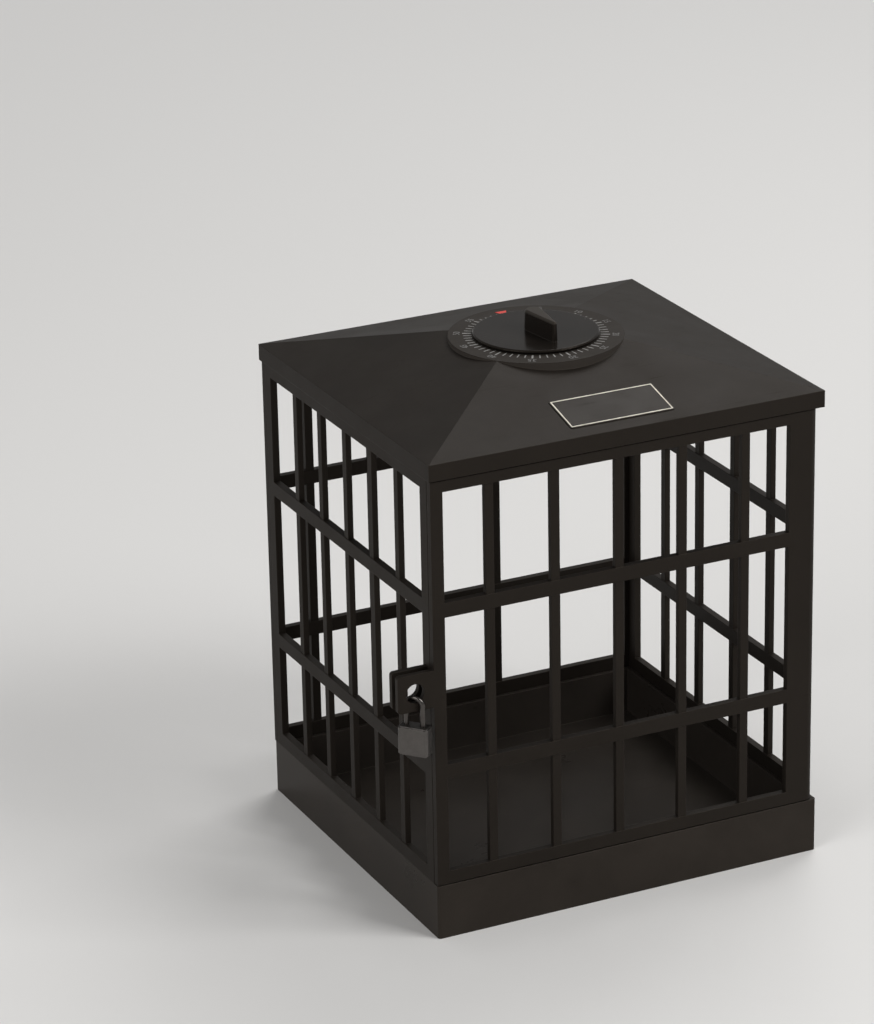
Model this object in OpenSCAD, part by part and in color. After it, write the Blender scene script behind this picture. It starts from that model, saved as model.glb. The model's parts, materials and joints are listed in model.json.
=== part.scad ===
// Phone jail: a barred cage with a padlock on its door and a wind-up timer in its roof.
// Millimetres. The underside lies on z = 0, the door faces -Y and the hasp is at -X.

/* [Cage] */
// Width of the cage across its door
cage_w = 150; // [146:1:165]
// Depth of the cage from the door to the back
cage_d = 138; // [134:1:150]
// Height of the base tray's wall
base_h = 20; // [14:0.5:28]
// Thickness of the base tray's wall
base_wall = 4.2; // [4:0.1:6]
// Thickness of the base tray's floor
base_floor = 2.5; // [1.5:0.1:4]
// Rounding of the base tray's upright corners
base_round = 1; // [0.5:0.1:1.2]
// Height of the panels between the base rim and the roof rim
panel_h = 149; // [140:1:165]
// Thickness of the panels and the door
panel_t = 2.6; // [2.4:0.1:3]

/* [Bars] */
// Width of the upright frame strips
stile_w = 4.5; // [3.5:0.1:6]
// Width of the left panel's front strip, which carries an ear
ear_stile_w = 5.2; // [4.8:0.1:7]
// Width of one bar
bar_w = 3.1; // [2.4:0.1:4]
// How far a bar's faces lie below the faces of the rails
bar_inset = 0.25; // [0.1:0.05:0.5]
// Height of the bottom and middle rails
rail_h = 5.2; // [4:0.1:7]
// Height of the top rail
top_rail_h = 4.5; // [3.5:0.1:6]
// Height of the lower middle rail above the base rim
low_rail_up = 40; // [30:0.5:50]
// Height of the upper middle rail above the base rim
high_rail_up = 99.4; // [85:0.5:110]
// Number of bars in the door, the back panel and the left panel
bar_count = 5; // [3:2:5]
// Number of bars in the right panel
right_count = 4; // [2:1:5]
// Distance between the door's bars
door_pitch = 24.6; // [22:0.1:25.5]
// Distance between the back panel's bars
back_pitch = 25; // [22:0.1:26]
// How far the back panel's middle bar is set to the left of the cage's middle
back_shift = 8.5; // [0:0.5:9]
// Distance between the left panel's bars
side_pitch = 20.7; // [18:0.1:21.5]
// Distance between the right panel's bars
right_pitch = 25.7; // [20:0.1:27]

/* [Panel joints] */
// Thickness of the tongues on the panels
tongue_t = 1.3; // [1:0.1:1.4]
// Depth of the lower tongue in the base
tongue_down = 6; // [3:0.5:9]
// Height of the upper tongue in the roof
tongue_up = 3.4; // [2:0.1:3.6]
// Distance from a panel's end to its tongue
tongue_end = 8; // [6:0.5:14]
// Clearance on each side of a tongue
tongue_play = 0.1; // [0.05:0.05:0.2]

/* [Door] */
// Gap above and below the door
door_gap = 0.5; // [0.3:0.1:1]
// Gap behind the door and behind its hinge
swing_gap = 0.4; // [0.3:0.05:0.8]
// Radius of the round hinge stile
hinge_r = 2.6; // [2.4:0.1:3]
// Distance from the hinge axis to the right side
hinge_in = 4; // [3.4:0.1:5]
// Radius of the hinge pins
pin_r = 1.5; // [1.1:0.05:1.6]
// Depth of the lower pin in the base
pin_down = 5.5; // [3:0.5:8]
// Height of the upper pin in the roof
pin_up = 3.5; // [2:0.1:4]
// Clearance round a pin
pin_play = 0.05; // [0.03:0.01:0.1]
// Thickness of the ribs that stop the door
stop_t = 1.2; // [0.8:0.1:1.6]
// Reach of the stop ribs behind the door
stop_h = 3; // [1.5:0.1:4]
// Distance from a stop rib's end to the side of the doorway
stop_end = 10; // [8:0.5:20]

/* [Hasp] */
// Length of the ears beyond the cage
ear_len = 13.5; // [13:0.5:18]
// Thickness of an ear
ear_t = 2; // [1.6:0.1:2.4]
// Height of the ears
ear_h = 13.5; // [12:0.5:16]
// Height of the ears' lower edge above the base rim
ear_up = 67.5; // [50:0.5:80]
// Rounding of the ears' outer corners
ear_round = 1.2; // [1:0.1:3]
// Radius of the hole in an ear
ear_hole_r = 3.5; // [3:0.1:4]
// Distance from the cage to the hole's centre
ear_hole_out = 7; // [6.8:0.1:9]
// Height of the hole's centre above the ear's lower edge
ear_hole_up = 6.5; // [6:0.1:7]

/* [Padlock] */
// Width of the padlock's body across the shackle
lock_w = 11; // [10.5:0.5:13]
// Thickness of the padlock's body
lock_t = 5.6; // [5.4:0.1:6]
// Height of the padlock's body
lock_h = 10.4; // [10.4:0.1:12]
// Rounding of the body's upright corners
lock_round = 1.4; // [0.8:0.1:2]
// Set-back of the body's top and bottom faces at their edges
lock_step = 0.4; // [0.2:0.1:0.6]
// Distance from the middle of the shackle's crown to the body's top
lock_drop = 10.2; // [9.6:0.1:12]
// Diameter of the shackle's wire
wire_d = 1.8; // [1.6:0.1:2]
// Distance between the middles of the shackle's legs
leg_span = 6; // [5.9:0.1:6.4]
// Turn of the hanging padlock about its upright middle line
lock_twist = 40; // [20:1:41]
// Clearance between the shackle and the ears
wire_gap = 0.4; // [0.3:0.05:0.6]
// Depth of the long leg in the body
long_leg = 4.2; // [4:0.1:4.4]
// Depth of the short leg in the body
short_leg = 2.6; // [2:0.1:3]
// Clearance round a leg in the body
leg_play = 0.05; // [0.03:0.01:0.1]
// Radius of the key plug
plug_r = 2.1; // [1.6:0.1:2.2]
// Length of the key plug
plug_l = 5; // [4.4:0.1:5.2]
// Clearance round the key plug
plug_play = 0.08; // [0.05:0.01:0.1]
// Width of the keyway
key_w = 0.8; // [0.6:0.05:1]
// Height of the keyway
key_h = 2.8; // [2:0.1:3]
// Depth of the keyway
key_deep = 3.6; // [3:0.1:4]

/* [Roof] */
// Height of the roof's upright rim
rim_h = 6; // [5:0.1:8]
// Overhang of the rim beyond the cage
roof_over = 0.7; // [0.4:0.1:1.5]
// Rise of the sloping faces to their ridge
roof_rise = 16.5; // [16:0.1:18]
// Thickness of the sloping faces, measured upright
roof_t = 2.3; // [1.8:0.1:2.6]
// Thickness of the ribs behind the upper tongues
rib_t = 1.3; // [1:0.1:2]
// Clearance between the timer's case and the round platform's side
plat_play = 0.4; // [0.3:0.05:0.6]
// Height of the platform above the eaves
plat_up = 12.2; // [12:0.1:13]
// Thickness of the platform's top
plat_t = 2.2; // [1.8:0.1:2.6]
// Thickness of the platform's side
plat_wall = 2; // [1.6:0.1:2.2]

/* [Timer knob] */
// Radius of the knob's disc
knob_r = 22.3; // [20:0.1:23]
// Thickness of the disc
knob_t = 1.2; // [1:0.1:2]
// Bevel of the disc's edge
knob_bevel = 0.4; // [0.2:0.05:0.5]
// Gap under the disc
knob_gap = 0.3; // [0.25:0.05:0.6]
// Length of the grip bar
grip_l = 20; // [17:0.5:21]
// Distance from the dial's axis to the grip bar's round end
grip_back = 5; // [4.5:0.1:6]
// Width of the grip bar at its foot
grip_w = 6.8; // [6:0.1:8]
// Height of the grip bar above the disc
grip_h = 7.2; // [6:0.1:9]
// Narrowing of the grip bar at its top, on each side
grip_taper = 0.3; // [0.1:0.05:0.4]
// Bevel of the grip bar's top edge
grip_bevel = 0.6; // [0.3:0.05:0.7]
// Rounding of the grip bar's pointed end
grip_round = 1.2; // [1.15:0.05:1.6]
// Radius of the hub under the disc
hub_r = 3.6; // [3.2:0.1:4]
// Length of the hub under the disc
hub_l = 2.2; // [1.6:0.1:2.4]
// Clearance round the hub
hub_gap = 0.3; // [0.25:0.05:0.4]

/* [Timer case] */
// Clearance between the movement and the case's side
case_gap = 1.1; // [0.8:0.1:1.5]
// Thickness of the case
case_t = 1.4; // [1.2:0.1:1.8]
// Height of the case below the platform
case_h = 20.2; // [19.5:0.1:22]
// Distance from the case's side to the screws' middles
lug_out = 4.8; // [4.4:0.1:5.2]
// Radius of the lugs and of the bosses above them
lug_r = 3; // [2.6:0.1:3.2]
// Thickness of the lugs
lug_t = 2; // [1.6:0.1:2.4]
// Depth of the lugs' upper faces below the platform
lug_low = 8.8; // [8:0.1:10]
// Directions of the screws
lug_dirs = [90, 210, 330];
// Radius of the screws' shanks
screw_r = 1.2; // [1:0.05:1.3]
// Clearance of the screws in the lugs
screw_play = 0.15; // [0.1:0.05:0.2]
// Radius of the screws' heads
screw_head_r = 2.3; // [2:0.1:2.5]
// Height of the screws' heads
screw_head_h = 1.6; // [1.2:0.1:2]
// Reach of the screws into the bosses
screw_in = 2.6; // [2:0.1:2.8]
// Width of the screws' slots
screw_slot = 0.6; // [0.4:0.1:0.8]

/* [Timer movement] */
// Radius of the movement's plates
plate_r = 24; // [23.6:0.1:25]
// Thickness of a plate
plate_t = 0.8; // [0.6:0.05:1]
// Height of the lower plate above the case's floor
plate_low = 3.6; // [3.4:0.1:4]
// Depth of the upper plate's lower face below the platform
plate_high = 2.4; // [2.2:0.1:2.8]
// Radius of the pillars
pillar_r = 2; // [1.6:0.1:2.2]
// Radius of the pillars' ends in the plates
tenon_r = 1.2; // [0.9:0.05:1.4]
// Distance from the middle to the pillars
pillar_at = 21.5; // [21:0.1:21.8]
// Directions of the pillars
pillar_dirs = [100, 195, 305];
// Clearance of pivots and pillar ends in the plates
pivot_play = 0.05; // [0.03:0.01:0.08]
// Play of the arbors between the plates
end_play = 0.2; // [0.1:0.05:0.3]
// Radius of the dial arbor
arbor_r = 2; // [1.6:0.1:2.2]
// Reach of the dial arbor above the platform
arbor_up = 6; // [4:0.1:7]
// Radius of the second and escape wheels' arbors
axle_r = 0.9; // [0.8:0.05:1]
// Radius of the arbors' pivots
pivot_r = 0.6; // [0.4:0.05:0.7]
// Height of the main wheel above the lower plate
main_up = 8.6; // [8.2:0.1:9]
// Height of the second wheel above the lower plate
second_up = 6; // [5.9:0.1:6.4]
// Height of the escape wheel above the lower plate
escape_up = 2.3; // [1.6:0.1:2.6]
// Height of the balance above the lower plate
balance_up = 4.4; // [4:0.1:4.5]
// Height of the mainspring above the lower plate
spring_up = 1.2; // [0.8:0.1:1.5]
// Tooth module of the main wheel and the pinion it drives
main_module = 0.6; // [0.58:0.01:0.61]
// Teeth of the main wheel
main_teeth = 40; // [40:1:40]
// Teeth of the second arbor's pinion
second_pinion_teeth = 10; // [10:1:10]
// Thickness of the main wheel
main_t = 1.2; // [0.8:0.1:1.4]
// Tooth module of the second wheel and the pinion it drives
second_module = 0.5; // [0.48:0.01:0.51]
// Teeth of the second wheel
second_teeth = 30; // [30:1:30]
// Teeth of the escape arbor's pinion
escape_pinion_teeth = 8; // [8:1:8]
// Thickness of the second wheel
second_t = 1; // [0.8:0.1:1.1]
// How far a pinion reaches past its wheel, on each side
pinion_past = 0.4; // [0.2:0.1:0.5]
// Radius of the escape wheel
escape_r = 5.5; // [5.2:0.1:5.6]
// Radius at the feet of the escape wheel's teeth
escape_root = 4.3; // [3.8:0.1:4.6]
// Teeth of the escape wheel
escape_teeth = 15; // [13:2:17]
// Thickness of the escape wheel
escape_t = 0.8; // [0.6:0.1:1]
// Direction from the second arbor to the escape arbor
escape_dir = 78; // [76:1:80]
// Radius of the balance's ring
balance_r = 6.5; // [6:0.1:6.8]
// Width of the balance's ring
balance_rim = 0.9; // [0.7:0.1:1.2]
// Thickness of the balance
balance_t = 1.2; // [0.8:0.1:1.4]
// Radius of the balance's pallet pins
pallet_r = 0.35; // [0.25:0.05:0.4]
// Gap between the escape wheel and a pallet pin in the middle of its swing
pallet_gap = 0.35; // [0.3:0.05:0.5]
// Angle of each pallet pin from the line to the escape wheel
pallet_turn = 28; // [26:1:32]
// Distance from the escape arbor to the balance
balance_off = 10.4; // [10:0.1:10.8]
// Direction from the escape arbor to the balance
balance_dir = 133; // [130:1:136]
// Thickness of the mainspring's strip
spring_t = 0.3; // [0.2:0.05:0.4]
// Height of the mainspring's strip
spring_h = 4; // [3:0.1:4.2]
// Distance from one turn of the mainspring to the next
spring_pitch = 1.1; // [0.9:0.05:1.15]
// Turns of the mainspring
spring_turns = 5; // [3:1:5]
// Clearance of the mainspring round the arbor's collar
spring_gap = 0.3; // [0.25:0.05:0.4]
// Radius of the arbor's collar inside the mainspring
collar_r = 2.6; // [2.4:0.1:2.8]
// Radius of the stud at the mainspring's outer end
stud_r = 0.8; // [0.6:0.1:1]
// Radius of the gong
gong_r = 18; // [16:0.1:18.4]
// Thickness of the gong
gong_t = 0.8; // [0.6:0.1:1]
// Height of the gong's rim
gong_h = 2; // [1.6:0.1:2.2]
// Height of the gong's hub
gong_up = 0.8; // [0.6:0.1:0.9]
// Radius of the gong's hub
gong_hub_r = 3; // [2:0.1:4]
// Distance from the middle to the hammer's pivot
hammer_at = 20.2; // [20:0.1:20.4]
// Direction of the hammer's pivot
hammer_dir = 220; // [216:1:224]
// Length of the hammer's arm
hammer_l = 7; // [6.6:0.1:7.4]
// Radius of the hammer's head
hammer_head_r = 1.4; // [1.2:0.1:1.5]
// Width of the hammer's arm
hammer_w = 1.4; // [1:0.1:1.5]
// Thickness of the hammer's arm and head
hammer_t = 1; // [0.6:0.1:1.1]
// Gap between the hammer and the lower plate
hammer_gap = 0.6; // [0.4:0.1:0.7]

/* [Hidden] */
$fn = 48;
lap = 0.5;
cut = 1;
sliver = 0.01;
plastic = [0.16, 0.155, 0.15];
plastic_knob = [0.13, 0.125, 0.12];
steel = [0.62, 0.62, 0.64];
dark_metal = [0.3, 0.3, 0.31];
brass = [0.78, 0.64, 0.34];

// Heights of the cage
seat_z = base_h + panel_h;
eave_z = seat_z + rim_h;
plat_z = eave_z + plat_up;
plat_under = plat_z - plat_t;

// The hinge axis and the inner faces that panels and door share
hinge_x = cage_w / 2 - hinge_in;
hinge_y = hinge_r - cage_d / 2;
door_back = panel_t + swing_gap;
side_len = cage_d - panel_t - tongue_play - door_back;
right_len = cage_d - panel_t - tongue_play - 2 * hinge_r - swing_gap;
door_mid = cage_w / 2 - hinge_in;
door_len = cage_w - hinge_in;
groove_out = panel_t - tongue_t - tongue_play;
groove_t = tongue_t + 2 * tongue_play;
rim_in = roof_over + groove_out;

// The roof's plan
roof_w = cage_w + 2 * roof_over;
roof_d = cage_d + 2 * roof_over;
rib_top = eave_z - roof_t / 3;

// The ears, the padlock's middle plane and its heights
ear_gap = wire_d + 2 * wire_gap;
ear_z = base_h + ear_up;
hole_z = ear_z + ear_hole_up;
hole_x = -cage_w / 2 - ear_hole_out;
long_y = -cage_d / 2 + ear_t + ear_gap / 2;
lock_y = long_y - leg_span / 2 * cos(lock_twist);
lock_in = lock_y + cage_d / 2;
arch_in = leg_span / 2 - wire_d / 2;
ear_off = max(lock_in, ear_t - lock_in) / cos(lock_twist);
arch_drop = arch_in - sqrt(arch_in * arch_in - ear_off * ear_off);
crown_z = hole_z - ear_hole_r + wire_gap + arch_drop + wire_d / 2;
lock_top = crown_z - lock_drop;
lock_bottom = lock_top - lock_h;

// Heights of the timer's case and movement
case_z = plat_under - case_h;
case_floor = case_z + case_t;
low_z = case_floor + plate_low;
low_top = low_z + plate_t;
high_z = plat_under - plate_high;
axle_low = low_top + end_play;
axle_high = high_z - end_play;
lug_z = plat_under - lug_low;
train_h = high_z - low_top;
main_z = low_top + main_up;
second_z = low_top + second_up;
escape_z = low_top + escape_up;
balance_z = low_top + balance_up;
spring_z = low_top + spring_up;

// Places of the timer's arbors, seen from above
second_at = main_module * (main_teeth + second_pinion_teeth) / 2;
escape_off = second_module * (second_teeth + escape_pinion_teeth) / 2;
second_p = [second_at, 0];
escape_p = second_p + escape_off * [cos(escape_dir), sin(escape_dir)];
balance_p = escape_p + balance_off * [cos(balance_dir), sin(balance_dir)];
hammer_p = hammer_at * [cos(hammer_dir), sin(hammer_dir)];
spring_out = collar_r + spring_gap + spring_t + spring_pitch * spring_turns;
stud_p = [-(spring_out + stud_r), 0];

// The case round the movement, the platform round the case, and the screws outside it
case_r = max(plate_r, norm(balance_p) + balance_r) + case_gap + case_t;
plat_r = case_r + plat_play + plat_wall;
lug_at = case_r + lug_out;

// Middles of n bars round a middle place
function bar_places(middle, pitch, n) = [for (k = [0 : n - 1]) middle + (k - (n - 1) / 2) * pitch];

function polar(r, a) = [r * cos(a), r * sin(a)];

// Outline of a gear with straight-sided teeth, the first tooth pointing at angle a
function gear_points(teeth, module_size, a) =
    let (pitch = 360 / teeth, r = teeth * module_size / 2)
    [for (i = [0 : teeth - 1])
        for (p = [[-1.05, -0.27], [0, -0.2], [0.8, -0.08], [0.8, 0.08], [0, 0.2], [-1.05, 0.27]])
            polar(r + p[0] * module_size, a + (i + p[1]) * pitch)];

// Outline of a wheel with pointed, leaning teeth
function saw_points(teeth, r, root) =
    [for (i = [0 : teeth - 1])
        for (p = [[root, 0], [r, 0.55], [r, 0.7], [root, 0.75]])
            polar(p[0], (i + p[1]) * 360 / teeth)];

// Outline of a spiral strip: out along its inner side, back along its outer side
function spiral_points(r, thick, pitch, turns, steps) =
    concat(
        [for (i = [0 : turns * steps]) polar(r + pitch * i / steps, 180 + i * 360 / steps)],
        [for (i = [turns * steps : -1 : 0]) polar(r + thick + pitch * i / steps, 180 + i * 360 / steps)]);

// A block with round upright corners, its middle at the origin
module round_block(w, d, h, r) {
    translate([r - w / 2, -d / 2, 0])
        cube([w - 2 * r, d, h]);
    translate([-w / 2, r - d / 2, 0])
        cube([w, d - 2 * r, h]);
    for (x = [r - w / 2, w / 2 - r], y = [r - d / 2, d / 2 - r])
        translate([x, y, 0])
            cylinder(r = r, h = h);
}

// Moves the origin to the cage's front left corner
module from_corner() {
    translate([-cage_w / 2, -cage_d / 2, 0])
        children();
}

// Left and right edges of the openings between the bars
function gap_edges(wide, first_stile, last_stile, bars) =
    let (n = len(bars))
    [for (i = [0 : n]) [i == 0 ? first_stile : bars[i - 1] + bar_w / 2,
        i == n ? wide - last_stile : bars[i] - bar_w / 2]];

// A plate from z0 to z1 pierced by rows of openings, with its outer face at y = 0 and its bars set back
module grille(len, first_stile, last_stile, bars, z0, z1) {
    rows = [[base_h + rail_h, base_h + low_rail_up],
        [base_h + low_rail_up + rail_h, base_h + high_rail_up],
        [base_h + high_rail_up + rail_h, seat_z - top_rail_h]];
    difference() {
        translate([0, panel_t, 0])
            rotate([90, 0, 0])
                linear_extrude(panel_t)
                    difference() {
                        translate([0, z0])
                            square([len, z1 - z0]);
                        for (row = rows, gap = gap_edges(len, first_stile, last_stile, bars))
                            translate([gap[0], row[0]])
                                square([gap[1] - gap[0], row[1] - row[0]]);
                    }
        for (row = rows, y = [bar_inset - cut, panel_t - bar_inset])
            translate([first_stile, y, row[0]])
                cube([len - first_stile - last_stile, cut, row[1] - row[0]]);
    }
}

// A fixed panel: its grille and the tongues that sit in the base and the roof
module panel(len, first_stile, last_stile, bars) {
    grille(len, first_stile, last_stile, bars, base_h, seat_z);
    translate([tongue_end, panel_t - tongue_t, base_h - tongue_down])
        cube([len - 2 * tongue_end, tongue_t, tongue_down + lap]);
    translate([tongue_end, panel_t - tongue_t, seat_z - lap])
        cube([len - 2 * tongue_end, tongue_t, tongue_up + lap]);
}

// The groove for a panel's lower tongue
module groove(len) {
    translate([tongue_end - tongue_play, groove_out, base_h - tongue_down - tongue_play])
        cube([len - 2 * tongue_end + 2 * tongue_play, groove_t, tongue_down + tongue_play + cut]);
}

// Places what is drawn for a panel on the cage's left, right or back side
module on_left() {
    from_corner()
        translate([0, door_back + side_len, 0])
            rotate([0, 0, -90])
                children();
}

module on_right() {
    from_corner()
        translate([cage_w, 2 * hinge_r + swing_gap, 0])
            rotate([0, 0, 90])
                children();
}

module on_back() {
    from_corner()
        translate([cage_w, cage_d, 0])
            rotate([0, 0, 180])
                children();
}

// A hasp ear beyond the left side, with its front face at y = front
module ear(front) {
    from_corner()
        translate([0, front, 0])
            difference() {
                union() {
                    translate([ear_round - ear_len, 0, ear_z])
                        cube([ear_len - ear_round + lap, ear_t, ear_h]);
                    translate([-ear_len, 0, ear_z + ear_round])
                        cube([ear_len, ear_t, ear_h - 2 * ear_round]);
                    for (z = [ear_z + ear_round, ear_z + ear_h - ear_round])
                        translate([ear_round - ear_len, 0, z])
                            rotate([-90, 0, 0])
                                cylinder(r = ear_round, h = ear_t);
                }
                translate([-ear_hole_out, -cut, hole_z])
                    rotate([-90, 0, 0])
                        cylinder(r = ear_hole_r, h = ear_t + 2 * cut);
            }
}

// The rib that stops the door, from z = low upward
module door_stop(low, high) {
    from_corner()
        translate([stop_end, door_back, low])
            cube([door_len - 2 * stop_end, stop_t, high - low]);
}

module base_tray() {
    color(plastic)
        difference() {
            union() {
                difference() {
                    round_block(cage_w, cage_d, base_h, base_round);
                    translate([base_wall - cage_w / 2, base_wall - cage_d / 2, base_floor])
                        cube([cage_w - 2 * base_wall, cage_d - 2 * base_wall, base_h]);
                }
                door_stop(base_floor, base_h + stop_h);
                translate([hinge_x, hinge_y, 0])
                    cylinder(r = hinge_r, h = base_h);
            }
            on_left()
                groove(side_len);
            on_right()
                groove(right_len);
            on_back()
                groove(cage_w);
            translate([hinge_x, hinge_y, base_h - pin_down - pin_play])
                cylinder(r = pin_r + pin_play, h = pin_down + pin_play + cut);
        }
}

module left_panel() {
    color(plastic) {
        on_left()
            panel(side_len, stile_w, ear_stile_w,
                bar_places(door_back + side_len - cage_d / 2, side_pitch, bar_count));
        ear(ear_t + ear_gap);
    }
}

module right_panel() {
    color(plastic)
        on_right()
            panel(right_len, stile_w, stile_w, bar_places(right_len / 2, right_pitch, right_count));
}

module back_panel() {
    color(plastic)
        on_back()
            panel(cage_w, stile_w, stile_w,
                bar_places(cage_w / 2 + back_shift, back_pitch, bar_count));
}

module door() {
    color(plastic) {
        from_corner()
            grille(door_len, stile_w, stile_w + hinge_in, bar_places(door_mid, door_pitch, bar_count),
                base_h + door_gap, seat_z - door_gap);
        translate([hinge_x, hinge_y, base_h + door_gap])
            cylinder(r = hinge_r, h = panel_h - 2 * door_gap);
        translate([hinge_x, hinge_y, base_h - pin_down])
            cylinder(r = pin_r, h = pin_down + panel_h + pin_up);
        ear(0);
    }
}

// The sloping faces as a solid with its eaves at z = 0
module hip_solid() {
    intersection() {
        rotate([90, 0, 90])
            linear_extrude(roof_w, center = true)
                polygon([[-roof_d / 2, 0], [roof_d / 2, 0], [0, roof_rise]]);
        rotate([90, 0, 0])
            linear_extrude(roof_d, center = true)
                polygon([[-roof_w / 2, 0], [roof_w / 2, 0],
                    [(roof_w - roof_d) / 2, roof_rise], [(roof_d - roof_w) / 2, roof_rise]]);
    }
}

module roof_outside() {
    translate([-roof_w / 2, -roof_d / 2, seat_z])
        cube([roof_w, roof_d, rim_h]);
    difference() {
        union() {
            translate([0, 0, eave_z])
                hip_solid();
            translate([0, 0, eave_z])
                cylinder(r = plat_r, h = plat_up, $fn = 96);
        }
        translate([-roof_w / 2, -roof_d / 2, plat_z])
            cube([roof_w, roof_d, roof_rise]);
    }
}

module roof_inside() {
    intersection() {
        union() {
            translate([0, 0, eave_z - roof_t])
                hip_solid();
            translate([-roof_w / 2, -roof_d / 2, seat_z - cut])
                cube([roof_w, roof_d, rim_h - roof_t + cut]);
        }
        translate([rim_in - roof_w / 2, rim_in - roof_d / 2, seat_z - cut])
            cube([roof_w - 2 * rim_in, roof_d - 2 * rim_in, plat_under - seat_z + cut]);
    }
    translate([0, 0, seat_z])
        cylinder(r = plat_r - plat_wall, h = plat_under - seat_z, $fn = 96);
}

// The rib behind an upper tongue
module tongue_rib(len) {
    translate([tongue_end, panel_t + tongue_play, seat_z])
        cube([len - 2 * tongue_end, rib_t, rib_top - seat_z]);
}

module roof() {
    color(plastic)
        difference() {
            union() {
                difference() {
                    roof_outside();
                    roof_inside();
                }
                on_left()
                    tongue_rib(side_len);
                on_right()
                    tongue_rib(right_len);
                on_back()
                    tongue_rib(cage_w);
                door_stop(seat_z - stop_h, rib_top);
                translate([hinge_x, hinge_y, seat_z])
                    cylinder(r = hinge_r, h = rim_h);
                for (a = lug_dirs)
                    intersection() {
                        rotate([0, 0, a])
                            translate([lug_at, 0, lug_z])
                                cylinder(r = lug_r, h = plat_z - lug_z);
                        translate([0, 0, -roof_t / 2])
                            roof_outside();
                    }
                for (a = pillar_dirs)
                    rotate([0, 0, a])
                        translate([pillar_at, 0, high_z + plate_t])
                            cylinder(r = pillar_r, h = plat_under - high_z - plate_t + lap);
            }
            translate([hinge_x, hinge_y, seat_z - cut])
                cylinder(r = pin_r + pin_play, h = pin_up + pin_play + cut);
            translate([0, 0, plat_under - cut])
                cylinder(r = hub_r + hub_gap, h = plat_t + 2 * cut);
            for (a = lug_dirs)
                rotate([0, 0, a])
                    translate([lug_at, 0, lug_z - cut])
                        cylinder(r = screw_r, h = screw_in + cut);
        }
}

// One level of the grip bar, drawn in by inset on every side
module grip_level(z, inset) {
    back = grip_w / 2;
    translate([0, grip_back - back, z])
        cylinder(r = back - inset, h = sliver);
    translate([0, grip_back - grip_l + grip_round, z])
        cylinder(r = grip_round - inset, h = sliver);
}

module timer_knob() {
    top = knob_gap + knob_t;
    color(plastic_knob)
        translate([0, 0, plat_z])
            difference() {
                union() {
                    rotate_extrude($fn = 96)
                        polygon([[0, knob_gap], [knob_r - knob_bevel, knob_gap], [knob_r, knob_gap + knob_bevel],
                            [knob_r, top - knob_bevel], [knob_r - knob_bevel, top], [0, top]]);
                    translate([0, 0, knob_gap - hub_l])
                        cylinder(r = hub_r, h = hub_l + lap);
                    hull() {
                        grip_level(top - lap, 0);
                        grip_level(top + grip_h - grip_bevel, grip_taper);
                        grip_level(top + grip_h - sliver, grip_taper + grip_bevel);
                    }
                }
                translate([0, 0, knob_gap - hub_l - cut])
                    cylinder(r = arbor_r, h = arbor_up - knob_gap + hub_l + cut);
            }
}

module timer_case() {
    color(plastic)
        difference() {
            union() {
                difference() {
                    translate([0, 0, case_z])
                        cylinder(r = case_r, h = case_h, $fn = 96);
                    translate([0, 0, case_floor])
                        cylinder(r = case_r - case_t, h = case_h, $fn = 96);
                }
                for (a = pillar_dirs)
                    rotate([0, 0, a])
                        translate([pillar_at, 0, case_z])
                            cylinder(r = pillar_r, h = low_z - case_z);
                for (a = lug_dirs)
                    rotate([0, 0, a]) {
                        translate([case_r - case_t / 2, -lug_r, lug_z - lug_t])
                            cube([lug_at - case_r + case_t / 2, 2 * lug_r, lug_t]);
                        translate([lug_at, 0, lug_z - lug_t])
                            cylinder(r = lug_r, h = lug_t);
                    }
            }
            for (a = lug_dirs)
                rotate([0, 0, a])
                    translate([lug_at, 0, lug_z - lug_t - cut])
                        cylinder(r = screw_r + screw_play, h = lug_t + 2 * cut);
        }
}

module timer_screws() {
    head_z = lug_z - lug_t - screw_head_h;
    color(steel)
        for (a = lug_dirs)
            rotate([0, 0, a])
                translate([lug_at, 0, head_z])
                    difference() {
                        union() {
                            cylinder(r = screw_head_r, h = screw_head_h);
                            cylinder(r = screw_r, h = screw_head_h + lug_t + screw_in);
                        }
                        translate([-screw_slot / 2, -screw_head_r, -cut])
                            cube([screw_slot, 2 * screw_head_r, cut + screw_head_h / 2]);
                    }
}

// A plate with its lower face at z = 0 and the holes that both plates share
module movement_plate() {
    difference() {
        cylinder(r = plate_r, h = plate_t, $fn = 96);
        translate([0, 0, -cut])
            cylinder(r = arbor_r + pivot_play, h = plate_t + 2 * cut);
        for (p = [second_p, escape_p, balance_p, hammer_p])
            translate([p[0], p[1], -cut])
                cylinder(r = pivot_r + pivot_play, h = plate_t + 2 * cut);
        for (a = pillar_dirs)
            rotate([0, 0, a])
                translate([pillar_at, 0, -cut])
                    cylinder(r = tenon_r + pivot_play, h = plate_t + 2 * cut);
    }
}

module top_plate() {
    color(steel)
        translate([0, 0, high_z])
            movement_plate();
}

module bottom_plate() {
    color(steel)
        translate([0, 0, low_z]) {
            movement_plate();
            translate([stud_p[0], stud_p[1], plate_t - lap / 2])
                cylinder(r = stud_r, h = spring_z - low_top + spring_h + lap);
        }
}

module plate_pillars() {
    color(brass)
        for (a = pillar_dirs)
            rotate([0, 0, a])
                translate([pillar_at, 0, 0]) {
                    translate([0, 0, low_top])
                        cylinder(r = pillar_r, h = train_h);
                    translate([0, 0, low_z])
                        cylinder(r = tenon_r, h = train_h + 2 * plate_t);
                }
}

module dial_arbor() {
    color(steel) {
        translate([0, 0, low_z - end_play])
            cylinder(r = arbor_r, h = plat_z + arbor_up - low_z + end_play);
        translate([0, 0, axle_low])
            cylinder(r = collar_r, h = spring_z - axle_low + spring_h + lap);
    }
}

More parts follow.
